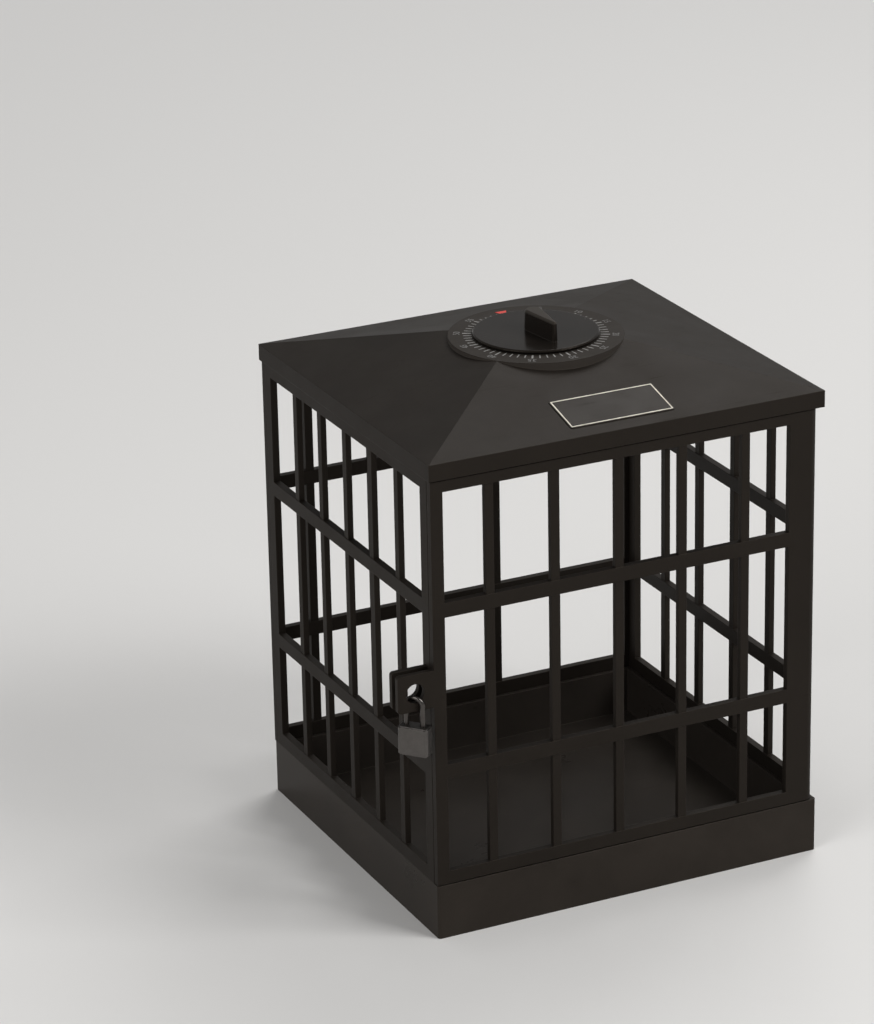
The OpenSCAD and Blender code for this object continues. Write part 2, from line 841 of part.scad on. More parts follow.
module main_wheel() {
    color(brass)
        difference() {
            union() {
                translate([0, 0, main_z])
                    linear_extrude(main_t)
                        polygon(gear_points(main_teeth, main_module, 0));
                translate([0, 0, main_z - main_t])
                    cylinder(r = 2 * arbor_r, h = axle_high - main_z + main_t);
            }
            translate([0, 0, main_z - main_t - cut])
                cylinder(r = arbor_r, h = train_h);
        }
}

module mainspring() {
    color(steel)
        translate([0, 0, spring_z])
            linear_extrude(spring_h)
                polygon(spiral_points(collar_r + spring_gap, spring_t, spring_pitch, spring_turns, 20));
}

// An arbor between the plates, with a pivot in each
module axle(p, r) {
    translate([p[0], p[1], axle_low])
        cylinder(r = r, h = axle_high - axle_low);
    translate([p[0], p[1], low_z])
        cylinder(r = pivot_r, h = train_h + 2 * plate_t);
}

module second_wheel() {
    color(brass) {
        axle(second_p, axle_r);
        translate([second_p[0], second_p[1], second_z])
            linear_extrude(second_t)
                polygon(gear_points(second_teeth, second_module, escape_dir));
        translate([second_p[0], second_p[1], main_z - pinion_past])
            linear_extrude(main_t + 2 * pinion_past)
                polygon(gear_points(second_pinion_teeth, main_module, 180 + 180 / second_pinion_teeth));
    }
}

module escape_wheel() {
    color(brass) {
        axle(escape_p, axle_r);
        translate([escape_p[0], escape_p[1], escape_z])
            linear_extrude(escape_t)
                polygon(saw_points(escape_teeth, escape_r, escape_root));
        translate([escape_p[0], escape_p[1], second_z - pinion_past])
            linear_extrude(second_t + 2 * pinion_past)
                polygon(gear_points(escape_pinion_teeth, second_module,
                    escape_dir + 180 + 180 / escape_pinion_teeth));
    }
}

module balance() {
    pallet_at = balance_off - escape_r - pallet_gap - pallet_r;
    color(brass) {
        axle(balance_p, axle_r);
        translate([balance_p[0], balance_p[1], balance_z]) {
            difference() {
                cylinder(r = balance_r, h = balance_t);
                translate([0, 0, -cut])
                    cylinder(r = balance_r - balance_rim, h = balance_t + 2 * cut);
            }
            for (turn = [-pallet_turn, pallet_turn])
                rotate([0, 0, balance_dir + 180 + turn]) {
                    translate([0, -balance_rim / 2, 0])
                        cube([balance_r - balance_rim / 2, balance_rim, balance_t]);
                    translate([pallet_at, 0, escape_z - balance_z])
                        cylinder(r = pallet_r, h = balance_z - escape_z + lap);
                }
        }
    }
}

module gong() {
    bowl_z = case_floor + gong_up;
    color(steel)
        rotate_extrude($fn = 96)
            polygon([[0, case_floor], [gong_hub_r, case_floor], [gong_hub_r, bowl_z],
                [gong_r - gong_t, bowl_z], [gong_r, bowl_z + gong_t], [gong_r, bowl_z + gong_h],
                [gong_r - gong_t, bowl_z + gong_h], [gong_r - gong_t, bowl_z + 1.4 * gong_t],
                [gong_r - 1.4 * gong_t, bowl_z + gong_t], [0, bowl_z + gong_t]]);
}

module hammer() {
    color(steel) {
        axle(hammer_p, axle_r);
        translate([hammer_p[0], hammer_p[1], low_z - hammer_gap - hammer_t]) {
            cylinder(r = pivot_r, h = hammer_gap + hammer_t + lap);
            cylinder(r = hammer_w / 2, h = hammer_t);
            rotate([0, 0, hammer_dir + 90]) {
                translate([0, -hammer_w / 2, 0])
                    cube([hammer_l, hammer_w, hammer_t]);
                translate([hammer_l, 0, 0])
                    cylinder(r = hammer_head_r, h = hammer_t);
            }
        }
    }
}

// Places what is drawn for the padlock, its legs in the plane x = 0, as it hangs turned in the door's ear
module hung_lock() {
    translate([hole_x, lock_y, 0])
        rotate([0, 0, lock_twist])
            children();
}

module padlock_body() {
    color(dark_metal)
        hung_lock()
            difference() {
                union() {
                    translate([0, 0, lock_bottom])
                        round_block(lock_t - 2 * lock_step, lock_w - 2 * lock_step, lock_h,
                            lock_round - lock_step);
                    translate([0, 0, lock_bottom + lock_step])
                        round_block(lock_t, lock_w, lock_h - 2 * lock_step, lock_round);
                }
                translate([0, leg_span / 2, lock_top - long_leg - leg_play])
                    cylinder(r = wire_d / 2 + leg_play, h = long_leg + leg_play + cut);
                translate([0, -leg_span / 2, lock_top - short_leg - leg_play])
                    cylinder(r = wire_d / 2 + leg_play, h = short_leg + leg_play + cut);
                translate([0, 0, lock_bottom - cut])
                    cylinder(r = plug_r + plug_play, h = plug_l + plug_play + cut);
            }
}

module padlock_shackle() {
    arch_z = crown_z - leg_span / 2;
    color(steel)
        hung_lock() {
            translate([0, 0, arch_z])
                rotate([90, 0, 90])
                    rotate_extrude(angle = 180)
                        translate([leg_span / 2, 0])
                            circle(d = wire_d);
            translate([0, leg_span / 2, lock_top - long_leg])
                cylinder(d = wire_d, h = arch_z - lock_top + long_leg);
            translate([0, -leg_span / 2, lock_top - short_leg])
                cylinder(d = wire_d, h = arch_z - lock_top + short_leg);
        }
}

module padlock_plug() {
    color(brass)
        hung_lock()
            difference() {
                translate([0, 0, lock_bottom])
                    cylinder(r = plug_r, h = plug_l);
                translate([-key_w / 2, -key_h / 2, lock_bottom - cut])
                    cube([key_w, key_h, key_deep + cut]);
            }
}

base_tray();
left_panel();
right_panel();
back_panel();
door();
roof();
timer_knob();
timer_case();
timer_screws();
top_plate();
bottom_plate();
plate_pillars();
dial_arbor();
main_wheel();
mainspring();
second_wheel();
escape_wheel();
balance();
gong();
hammer();
padlock_body();
padlock_shackle();
padlock_plug();
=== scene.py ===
import json
import math

import bmesh
import bpy
import numpy as np
from bpy.props import FloatProperty, FloatVectorProperty, IntProperty, PointerProperty
from mathutils import Matrix, Vector


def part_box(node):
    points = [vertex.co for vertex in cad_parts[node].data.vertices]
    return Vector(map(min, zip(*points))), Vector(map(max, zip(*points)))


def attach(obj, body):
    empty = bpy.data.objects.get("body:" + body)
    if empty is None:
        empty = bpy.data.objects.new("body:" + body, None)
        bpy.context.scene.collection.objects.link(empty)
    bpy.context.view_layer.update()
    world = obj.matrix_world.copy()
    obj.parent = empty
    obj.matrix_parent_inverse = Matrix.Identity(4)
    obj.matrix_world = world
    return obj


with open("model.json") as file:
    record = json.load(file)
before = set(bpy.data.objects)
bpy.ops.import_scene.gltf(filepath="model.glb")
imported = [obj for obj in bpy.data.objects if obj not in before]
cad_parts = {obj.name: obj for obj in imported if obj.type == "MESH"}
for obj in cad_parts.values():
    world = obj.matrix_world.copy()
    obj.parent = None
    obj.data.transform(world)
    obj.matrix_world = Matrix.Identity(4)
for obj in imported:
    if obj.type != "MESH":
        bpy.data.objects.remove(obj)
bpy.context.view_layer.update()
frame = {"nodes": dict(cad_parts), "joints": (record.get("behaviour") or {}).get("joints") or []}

bl_info = {
    "name": "Barred phone cage",
    "version": (1, 0, 0),
    "blender": (4, 5, 0),
    "location": "View3D > Sidebar > Phone cage",
    "description": "Dresses a barred phone cage with a timer in its roof and a padlock on its door",
    "category": "Object",
}

MM = 0.001

# Heights and places read from the frame: the dial's platform, the front eave and the knob's grip
ROOF_LOW, ROOF_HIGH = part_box("roof")
DIAL_TOP = ROOF_HIGH.z
ROOF_FRONT = ROOF_LOW.y
GRIP_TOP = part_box("timer_knob")[1].z

# The roof's slope: the eave's height, and the rise from the eave to the middle of the roof
EAVE_Z = 175 * MM
ROOF_RISE = 16.5 * MM

# CAD nodes that share a finish, and the turned wheel on each moving body of the timer
BARRED_NODES = ("left_panel", "right_panel", "back_panel", "door")
PLATE_NODES = ("top_plate", "bottom_plate", "plate_pillars")
ROUND_STEEL_NODES = ("dial_arbor", "mainspring", "gong")
SMALL_STEEL_NODES = ("timer_screws", "hammer")
WHEELS = {
    "dial": "main_wheel",
    "second": "second_wheel",
    "escape": "escape_wheel",
    "balance": "balance",
}


# ---------------------------------------------------------------- settings

def length(name, text, default):
    """A length in metres, shown in the scene's own unit."""
    return FloatProperty(name=name, description=text, default=default, min=0.0,
                         subtype="DISTANCE", unit="LENGTH", precision=5)


def offset(name, text, default):
    """A length in metres that may lie on either side of zero."""
    return FloatProperty(name=name, description=text, default=default,
                         subtype="DISTANCE", unit="LENGTH", precision=5)


def place(name, text, default):
    """A point in metres."""
    return FloatVectorProperty(name=name, description=text, default=default, size=3,
                               subtype="TRANSLATION", unit="LENGTH", precision=5)


def colour(name, text, default):
    """A scene-linear colour."""
    return FloatVectorProperty(name=name, description=text, default=default, size=3,
                               subtype="COLOR", min=0.0, max=1.0)


def share(name, text, default):
    """A number from 0 to 1."""
    return FloatProperty(name=name, description=text, default=default, min=0.0, max=1.0,
                         subtype="FACTOR")


def count(name, text, default, least):
    """A whole number."""
    return IntProperty(name=name, description=text, default=default, min=least)


class PlasticLook(bpy.types.PropertyGroup):
    cage_color: colour("Cage", "Colour of the moulded cage", (0.0102, 0.0082, 0.0067))
    tray_color: colour("Tray", "Colour of the base tray", (0.0225, 0.0188, 0.0158))
    knob_color: colour("Knob", "Colour of the timer's knob", (0.0085, 0.0069, 0.0057))
    dust_color: colour("Dust", "Colour of the dust that settles on top", (0.16, 0.148, 0.132))
    # Painted highlight: the colour that makes the grip's top lighter, as if lit from above.
    worn_color: colour("Worn grip", "Colour of the grip where fingers hold it",
                       (0.030, 0.026, 0.022))
    worn_dull: share("Worn dullness", "Roughness that the grip gains where fingers hold it", 0.34)
    # Painted sheen: the ring on the dial's platform is coloured lighter than the roof, in place of
    # the reflection it lacks.
    ring_color: colour("Dial ring", "Colour of the ring that carries the dial",
                       (0.021, 0.0178, 0.0152))
    # Painted light: the platform's low wall is coloured lighter to hide the shade it stands in.
    wall_color: colour("Dial wall", "Colour of the low wall round the dial's ring",
                       (0.036, 0.031, 0.027))
    ring_dull: share("Ring dullness", "Roughness that the dial's ring has over the roof", 0.05)
    cage_rough: share("Cage roughness", "Roughness of the cage's satin skin", 0.54)
    tray_rough: share("Tray roughness", "Roughness of the base tray's smoother skin", 0.3)
    knob_rough: share("Knob roughness", "Roughness of the knob's smoother skin", 0.17)
    cage_shine: share("Cage shine", "Level of the cage's reflection", 0.14)
    tray_shine: share("Tray shine", "Level of the base tray's reflection", 0.07)
    knob_shine: share("Knob shine", "Level of the knob's reflection", 0.15)
    shine_color: colour("Shine", "Tint of the plastics' reflection", (1.0, 0.86, 0.72))
    grain: length("Grain", "Width of a grain of the moulded skin", 0.42 * MM)
    cloud: length("Cloud", "Width of the broad patches in the sheen", 26 * MM)
    edge: length("Edge", "Radius of the plastic's softened edges", 0.32 * MM)


class MetalLook(bpy.types.PropertyGroup):
    lock_color: colour("Padlock", "Colour of the padlock's body", (0.108, 0.100, 0.094))
    shackle_color: colour("Shackle", "Colour of the padlock's shackle", (0.086, 0.079, 0.074))
    steel_color: colour("Steel", "Colour of bright steel", (0.46, 0.455, 0.45))
    brass_color: colour("Brass", "Colour of the wheels and the key plug", (0.60, 0.41, 0.15))
    tarnish_color: colour("Tarnish", "Colour of the darker patches on metal",
                          (0.052, 0.047, 0.043))
    lock_rough: share("Padlock roughness", "Roughness of the padlock's body", 0.34)
    steel_rough: share("Steel roughness", "Roughness of steel", 0.24)
    brass_rough: share("Brass roughness", "Roughness of brass", 0.28)
    streak: length("Streak", "Width of a brushed line", 0.11 * MM)
    edge: length("Edge", "Radius of the metal's softened edges", 0.22 * MM)


class DialPrint(bpy.types.PropertyGroup):
    minutes: count("Minutes", "Ticks round the dial", 60, 12)
    step: count("Step", "Minutes from one number to the next", 5, 1)
    tick_in: length("Tick start", "Radius where a tick starts", 22.6 * MM)
    tick_out: length("Tick end", "Radius where a tick ends", 25.5 * MM)
    tick_wide: length("Tick width", "Width of a minute's tick", 0.42 * MM)
    step_wide: length("Long tick width", "Width of a numbered tick", 0.62 * MM)
    step_more: length("Long tick extra", "How much further out a numbered tick goes", 0.4 * MM)
    number_at: length("Number radius", "Radius of the numbers' middles", 27.9 * MM)
    number_size: length("Number size", "Letter size of the numbers", 3.4 * MM)
    mark_in: length("Mark start", "Radius of the zero mark's tip", 22.7 * MM)
    mark_out: length("Mark end", "Radius of the zero mark's base", 27.6 * MM)
    mark_wide: length("Mark width", "Width of the zero mark's base", 4.4 * MM)
    ink: length("Ink", "Thickness of the printed ink", 0.05 * MM)
    sunk: length("Sunk", "How far the ink reaches into the platform", 0.02 * MM)
    ink_color: colour("Ink", "Colour of the ticks", (0.25, 0.243, 0.232))
    number_color: colour("Numbers", "Colour of the numbers", (0.14, 0.136, 0.13))
    mark_color: colour("Zero mark", "Colour of the zero mark", (0.72, 0.035, 0.02))


class RoofPlate(bpy.types.PropertyGroup):
    wide: length("Width", "Width of the bare plate along the eave", 40 * MM)
    tall: length("Height", "Height of the bare plate up the slope", 17.6 * MM)
    thick: length("Thickness", "Thickness of the plate", 0.3 * MM)
    chamfer: length("Chamfer", "Chamfer round the plate's face", 0.12 * MM)
    corner: length("Corner", "Radius of the plate's corners", 0.9 * MM)
    right: offset("Right", "Distance of the plate's middle from the cage's middle", 0.0)
    up: length("Up", "Distance of the plate's middle up the slope from the eave", 14.2 * MM)
    border_in: length("Border inset", "Distance from the plate's edge to its border", 0.55 * MM)
    border_wide: length("Border width", "Width of the printed border", 0.45 * MM)
    ink: length("Ink", "Thickness of the border's ink", 0.04 * MM)
    face_color: colour("Face", "Colour of the plate", (0.0080, 0.0066, 0.0055))
    border_color: colour("Border", "Colour of the border", (0.70, 0.655, 0.54))


class StageLook(bpy.types.PropertyGroup):
    floor_color: colour("Floor", "Colour of the floor", (0.74, 0.73, 0.715))
    back_color: colour("Background", "Colour of the far floor and the horizon",
                       (0.72, 0.714, 0.703))
    fill: share("Fill", "Strength of the even light from above", 0.33)
    floor_wide: length("Floor width", "Width of the floor", 24.0)
    eye: place("Camera", "Place of the camera", (-0.63319, -1.24339, 0.67003))
    look: place("Target", "Point that the camera faces", (-0.03968, 0.0, 0.12781))
    roll: FloatProperty(name="Roll", description="Turn of the camera about its line of sight",
                        default=math.radians(-1.139), subtype="ANGLE", unit="ROTATION")
    lens: FloatProperty(name="Lens", description="Focal length in millimetres, 36 mm sensor",
                        default=148.475, min=1.0)


SETTINGS = {
    "jail_plastic": PlasticLook,
    "jail_metal": MetalLook,
    "jail_dial": DialPrint,
    "jail_plate": RoofPlate,
    "jail_stage": StageLook,
}


# ---------------------------------------------------------------- nodes

def is_socket(value):
    return isinstance(value, bpy.types.NodeSocket)


def rgba(value):
    """A colour as a node's input takes it: a socket as it is, and three numbers with a fourth."""
    return value if is_socket(value) else tuple(value) + (1.0,)


def join(tree, node, links):
    """Joins {input: socket} to a node, or sets {input: number} on it."""
    for key, value in links.items():
        if is_socket(value):
            tree.links.new(value, node.inputs[key])
        else:
            node.inputs[key].default_value = value


def add(tree, kind, links=None, **values):
    """Adds a node, sets its properties, and joins its inputs."""
    node = tree.nodes.new(kind)
    for key, value in values.items():
        setattr(node, key, value)
    join(tree, node, links or {})
    return node


def spread(tree, value, low, high, to_low=0.0, to_high=1.0):
    """A value mapped from low-high to to_low-to_high and clamped."""
    ends = {0: value, 1: low, 2: high, 3: to_low, 4: to_high}
    return add(tree, "ShaderNodeMapRange", ends).outputs[0]


def combine(tree, how, a, b):
    """Two values combined by one Math operation."""
    return add(tree, "ShaderNodeMath", {0: a, 1: b}, operation=how).outputs[0]


def vector(tree, how, a, b=None):
    """The outputs of one Vector Math operation."""
    links = {0: a} if b is None else {0: a, 1: b}
    return add(tree, "ShaderNodeVectorMath", links, operation=how).outputs


def noise(tree, at, rate, **more):
    """A noise of so many cells a metre, from 0 to 1 about a half."""
    return add(tree, "ShaderNodeTexNoise", {"Vector": at, "Scale": rate, **more}).outputs[0]


def tint(tree, mask, a, b):
    """Colour a where the mask is 0 and colour b where it is 1."""
    links = {0: mask, 6: rgba(a), 7: rgba(b)}
    return add(tree, "ShaderNodeMix", links, data_type="RGBA").outputs[2]


def axis_distance(tree, at):
    """The distance from the Z axis: the length of the point with its height taken out."""
    flat = vector(tree, "MULTIPLY", at, (1.0, 1.0, 0.0))[0]
    return vector(tree, "LENGTH", flat)["Value"]


def group_of(name, inputs, outputs):
    """Starts a shader node group with the named sockets and returns its tree and its two ends."""
    tree = bpy.data.node_groups.new(name, "ShaderNodeTree")
    for socket, kind, value in inputs:
        made = tree.interface.new_socket(socket, in_out="INPUT", socket_type=kind)
        if value is not None:
            made.default_value = value
    for socket, kind in outputs:
        tree.interface.new_socket(socket, in_out="OUTPUT", socket_type=kind)
    return tree, tree.nodes.new("NodeGroupInput"), tree.nodes.new("NodeGroupOutput")


# ---------------------------------------------------------------- shared effects

def soft_edge_group():
    """A normal that rounds every edge by a radius, and a mask of the edges, which grows from 0 to 1
    as the rounded normal leans away from the flat one."""
    tree, start, end = group_of(
        "soft_edge",
        [("Radius", "NodeSocketFloat", 0.3 * MM)],
        [("Normal", "NodeSocketVector"), ("Edge", "NodeSocketFloat")])
    lean_none, lean_full = 0.995, 0.80  # cosines
    rounded = add(tree, "ShaderNodeBevel", {"Radius": start.outputs["Radius"]}, samples=6)
    flat = add(tree, "ShaderNodeNewGeometry")
    lean = vector(tree, "DOT_PRODUCT", rounded.outputs[0], flat.outputs["Normal"])["Value"]
    join(tree, end, {"Normal": rounded.outputs[0],
                     "Edge": spread(tree, lean, lean_none, lean_full)})
    return tree


def moulded_skin_group():
    """The grain, the broad sheen patches and the fine scuffs of moulded plastic."""
    tree, start, end = group_of(
        "moulded_skin",
        [("Vector", "NodeSocketVector", None), ("Grain", "NodeSocketFloat", 0.4 * MM),
         ("Cloud", "NodeSocketFloat", 26 * MM)],
        [("Grain", "NodeSocketFloat"), ("Cloud", "NodeSocketFloat"),
         ("Scuff", "NodeSocketFloat")])
    scuff_turn = (0.5, 0.3, 0.6)
    scuff_rate = (60.0, 1400.0, 900.0)  # a metre, so that a scuff is long and thin
    at = start.outputs["Vector"]
    grain_rate = combine(tree, "DIVIDE", 1.0, start.outputs["Grain"])
    cloud_rate = combine(tree, "DIVIDE", 1.0, start.outputs["Cloud"])
    pits = add(tree, "ShaderNodeTexVoronoi", {"Vector": at, "Scale": grain_rate},
               feature="SMOOTH_F1")
    fine = noise(tree, at, grain_rate, Detail=3.0)
    cloud = noise(tree, at, cloud_rate, Detail=5.0, Roughness=0.6, Distortion=0.4)
    drawn = add(tree, "ShaderNodeMapping",
                {"Vector": at, "Rotation": scuff_turn, "Scale": scuff_rate})
    lines = noise(tree, drawn.outputs[0], 1.0, Detail=2.0)
    scuff = combine(tree, "MULTIPLY", spread(tree, lines, 0.63, 0.72),
                    spread(tree, cloud, 0.45, 0.65))
    join(tree, end, {"Grain": combine(tree, "MULTIPLY", pits.outputs["Distance"], fine),
                     "Cloud": spread(tree, cloud, 0.32, 0.68), "Scuff": scuff})
    return tree


def settled_dust_group():
    """A mask of dust: specks and a thin haze on faces that look up."""
    tree, start, end = group_of("settled_dust", [("Vector", "NodeSocketVector", None)],
                                [("Dust", "NodeSocketFloat")])
    haze_rate, speck_rate = 55.0, 330.0  # a metre
    speck_most, haze_most = 0.6, 0.3
    at = start.outputs["Vector"]
    flat = add(tree, "ShaderNodeNewGeometry")
    up = add(tree, "ShaderNodeSeparateXYZ", {0: flat.outputs["Normal"]}).outputs["Z"]
    haze = noise(tree, at, haze_rate, Detail=6.0, Roughness=0.7)
    specks = add(tree, "ShaderNodeTexVoronoi", {"Vector": at, "Scale": speck_rate})
    dots = combine(tree, "MULTIPLY", spread(tree, specks.outputs["Distance"], 0.09, 0.05),
                   spread(tree, haze, 0.5, 0.62, 0.0, speck_most))
    thin = combine(tree, "ADD", dots, spread(tree, haze, 0.42, 0.75, 0.0, haze_most))
    join(tree, end, {"Dust": combine(tree, "MULTIPLY", thin, spread(tree, up, 0.6, 0.98))})
    return tree


def line_and_patch(tree, end, lines, at, patch_rate):
    """Puts out a metal's fine lines and its broad darker patches as masks."""
    patch = noise(tree, at, patch_rate, Detail=5.0, Roughness=0.65)
    join(tree, end, {"Line": spread(tree, lines, 0.3, 0.7), "Patch": spread(tree, patch, 0.4, 0.7)})


def brushed_group():
    """Fine straight lines along X, Y or Z, drawn out by the Stretch of each axis, and patches."""
    tree, start, end = group_of(
        "brushed",
        [("Vector", "NodeSocketVector", None), ("Stretch", "NodeSocketVector", (1.0, 1.0, 1.0))],
        [("Line", "NodeSocketFloat"), ("Patch", "NodeSocketFloat")])
    patch_rate = 170.0  # a metre
    at = start.outputs["Vector"]
    drawn = vector(tree, "MULTIPLY", at, start.outputs["Stretch"])[0]
    line_and_patch(tree, end, noise(tree, drawn, 1.0, Detail=4.0), at, patch_rate)
    return tree


def turned_rings_group():
    """Rings of a lathe's tool round the Z axis through the vector's zero, and patches."""
    tree, start, end = group_of(
        "turned_rings",
        [("Vector", "NodeSocketVector", None), ("Width", "NodeSocketFloat", 0.1 * MM)],
        [("Line", "NodeSocketFloat"), ("Patch", "NodeSocketFloat")])
    patch_rate = 210.0  # a metre
    at = start.outputs["Vector"]
    rate = combine(tree, "DIVIDE", axis_distance(tree, at), start.outputs["Width"])
    rings = add(tree, "ShaderNodeTexNoise", {"W": rate, "Scale": 1.0, "Detail": 2.0},
                noise_dimensions="1D")
    line_and_patch(tree, end, rings.outputs[0], at, patch_rate)
    return tree


GROUP_MAKERS = {
    "soft_edge": soft_edge_group,
    "moulded_skin": moulded_skin_group,
    "settled_dust": settled_dust_group,
    "brushed": brushed_group,
    "turned_rings": turned_rings_group,
}


def effect(tree, name, links):
    """Places a shared effect in a material, making its group the first time."""
    made = bpy.data.node_groups.get(name) or GROUP_MAKERS[name]()
    node = tree.nodes.new("ShaderNodeGroup")
    node.node_tree = made
    join(tree, node, links)
    return node.outputs


# ---------------------------------------------------------------- finishes

def fresh_material(name):
    """An empty material with a Principled shader, and its Object coordinates."""
    material = bpy.data.materials.new(name)
    material.use_nodes = True
    tree = material.node_tree
    shader = tree.nodes["Principled BSDF"]
    at = add(tree, "ShaderNodeTexCoord").outputs["Object"]
    return material, tree, shader, at


def bump(tree, shader, height, depth, strength, normal=None):
    """Joins a height map to the shader, on a rounded normal where one is given."""
    links = {"Height": height, "Distance": depth, "Strength": strength}
    if normal is not None:
        links["Normal"] = normal
    join(tree, shader, {"Normal": add(tree, "ShaderNodeBump", links).outputs[0]})


def moulded_plastic(name, look, base, rough, shine, relief, dusty, grain=1.0, cloud=1.0, edge=1.0,
                    zones=()):
    """Black moulded plastic: grain, uneven sheen, fine scuffs, lighter edges and a little dust. The
    lighter edges are partly wear and partly a painted highlight. grain, cloud and edge are
    multiples
    of the look's own widths. Each zone is a measure, its two ends, a colour and a gain in
    roughness:
    from one end to the other the skin turns to these. The measure is the height, or the distance
    from the dial's axis. The zones given here are painted light: they colour the dial's ring and
    wall and the grip's top lighter."""
    patch_gain, worn_and_lit_gain, worn_and_lit_share = 1.3, 2.6, 0.55
    patch_polish, patch_dull = 0.03, 0.04
    scuff_dull, edge_polish, grain_depth = 0.14, 0.06, 0.04 * MM
    material, tree, shader, at = fresh_material(name)
    skin = effect(tree, "moulded_skin", {"Vector": at, "Grain": grain * look.grain,
                                         "Cloud": cloud * look.cloud})
    rim = effect(tree, "soft_edge", {"Radius": edge * look.edge})
    haze = effect(tree, "settled_dust", {"Vector": at})
    patch = tuple(patch_gain * c for c in base)
    worn_and_lit_edge = tuple(worn_and_lit_gain * c for c in base)
    body = tint(tree, skin["Cloud"], base, patch)
    # Painted highlight, partly wear: the colour is lighter along the rounded edges.
    body = tint(tree, combine(tree, "MULTIPLY", rim["Edge"], worn_and_lit_share), body, worn_and_lit_edge)
    body = tint(tree, combine(tree, "MULTIPLY", haze["Dust"], dusty), body, look.dust_color)
    sheen = spread(tree, skin["Cloud"], 0.0, 1.0, rough - patch_polish, rough + patch_dull)
    for measure, start, end, zone_color, dull in zones:
        if measure == "height":
            far = add(tree, "ShaderNodeSeparateXYZ", {0: at}).outputs["Z"]
        else:
            far = axis_distance(tree, at)
        inside = spread(tree, far, start, end)
        # Painted light: the zones given here colour the dial's ring and wall and the grip's top
        # lighter.
        body = tint(tree, inside, body, zone_color)
        sheen = combine(tree, "ADD", sheen, combine(tree, "MULTIPLY", inside, dull))
    sheen = combine(tree, "ADD", sheen, combine(tree, "MULTIPLY", skin["Scuff"], scuff_dull))
    sheen = combine(tree, "SUBTRACT", sheen, combine(tree, "MULTIPLY", rim["Edge"], edge_polish))
    join(tree, shader, {"Base Color": body, "Roughness": sheen, "Specular IOR Level": shine,
                        "Specular Tint": rgba(look.shine_color)})
    bump(tree, shader, skin["Grain"], grain_depth, relief, rim["Normal"])
    return material


def bare_metal(name, metal, base, rough, along=None, centre=None):
    """Bright metal: brushed along one axis, or turned in rings round a centre."""
    edge_highlight_gain, edge_highlight_share, tarnish_share = 1.25, 0.7, 0.38
    line_polish, line_dull, patch_dull = 0.06, 0.1, 0.12
    line_depth, line_relief = 0.012 * MM, 0.5
    line_draw = 0.02  # the rate along a brushed line, as a share of the rate across it
    material, tree, shader, at = fresh_material(name)
    rim = effect(tree, "soft_edge", {"Radius": metal.edge})
    if centre is None:
        rate = np.full(3, 1.0 / metal.streak)
        rate[along] *= line_draw
        lines = effect(tree, "brushed", {"Vector": at, "Stretch": tuple(rate)})
    else:
        moved = add(tree, "ShaderNodeMapping",
                    {"Vector": at, "Location": tuple(-c for c in centre)}).outputs[0]
        lines = effect(tree, "turned_rings", {"Vector": moved, "Width": metal.streak})
    bright = tuple(min(1.0, edge_highlight_gain * c) for c in base)
    dark = combine(tree, "MULTIPLY", lines["Patch"], tarnish_share)
    body = tint(tree, dark, base, metal.tarnish_color)
    # Painted highlight: the colour is made brighter along the rounded edges.
    body = tint(tree, combine(tree, "MULTIPLY", rim["Edge"], edge_highlight_share), body, bright)
    sheen = spread(tree, lines["Line"], 0.0, 1.0, rough - line_polish, rough + line_dull)
    sheen = combine(tree, "ADD", sheen, combine(tree, "MULTIPLY", lines["Patch"], patch_dull))
    join(tree, shader, {"Base Color": body, "Roughness": sheen, "Metallic": 1.0})
    bump(tree, shader, lines["Line"], line_depth, line_relief, rim["Normal"])
    return material


def printed_ink(name, base, ground):
    """Pad-printed ink: slightly uneven, with fine flecks where the ground shows."""
    film_rate, fleck_rate = 420.0, 5200.0  # a metre
    thin_most, bare_most = 0.3, 0.55
    rough_least, rough_most = 0.4, 0.58
    fleck_depth, fleck_relief = 0.01 * MM, 0.3
    material, tree, shader, at = fresh_material(name)
    film = noise(tree, at, film_rate, Detail=4.0)
    flecks = noise(tree, at, fleck_rate, Detail=3.0)
    thin = spread(tree, film, 0.35, 0.7, 0.0, thin_most)
    bare = spread(tree, flecks, 0.64, 0.72, 0.0, bare_most)
    join(tree, shader, {"Base Color": tint(tree, combine(tree, "ADD", thin, bare), base, ground),
                        "Roughness": spread(tree, film, 0.3, 0.7, rough_least, rough_most)})
    bump(tree, shader, flecks, fleck_depth, fleck_relief)
    return material


def finish_nodes(names, material):
    """Gives CAD nodes a finish in place of their plain one."""
    for name in names:
        slots = frame["nodes"][name].data.materials
        slots.clear()
        slots.append(material)


def mesh_points(mesh):
    """A mesh's points as an array of one row each."""
    points = np.empty(len(mesh.vertices) * 3)
    mesh.vertices.foreach_get("co", points)
    return points.reshape(-1, 3)


def dial_reach():
    """The radius of the dial's platform: the largest distance from the axis among the roof's
    highest points."""
    slack = 0.01 * MM
    points = mesh_points(frame["nodes"]["roof"].data)
    top = points[points[:, 2] > DIAL_TOP - slack]
    return float(np.hypot(top[:, 0], top[:, 1]).max())


# ---------------------------------------------------------------- shapes

def add_piece(name, points, faces, material, body):
    """Puts points (metres, in the cage's frame) and faces into a mesh that rides on a body."""
    mesh = bpy.data.meshes.new(name)
    mesh.from_pydata(points.tolist(), [], [tuple(face) for face in faces])
    mesh.validate()
    mesh.update()
    mesh.materials.append(material)
    piece = bpy.data.objects.new(name, mesh)
    bpy.context.scene.collection.objects.link(piece)
    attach(piece, body)
    return piece


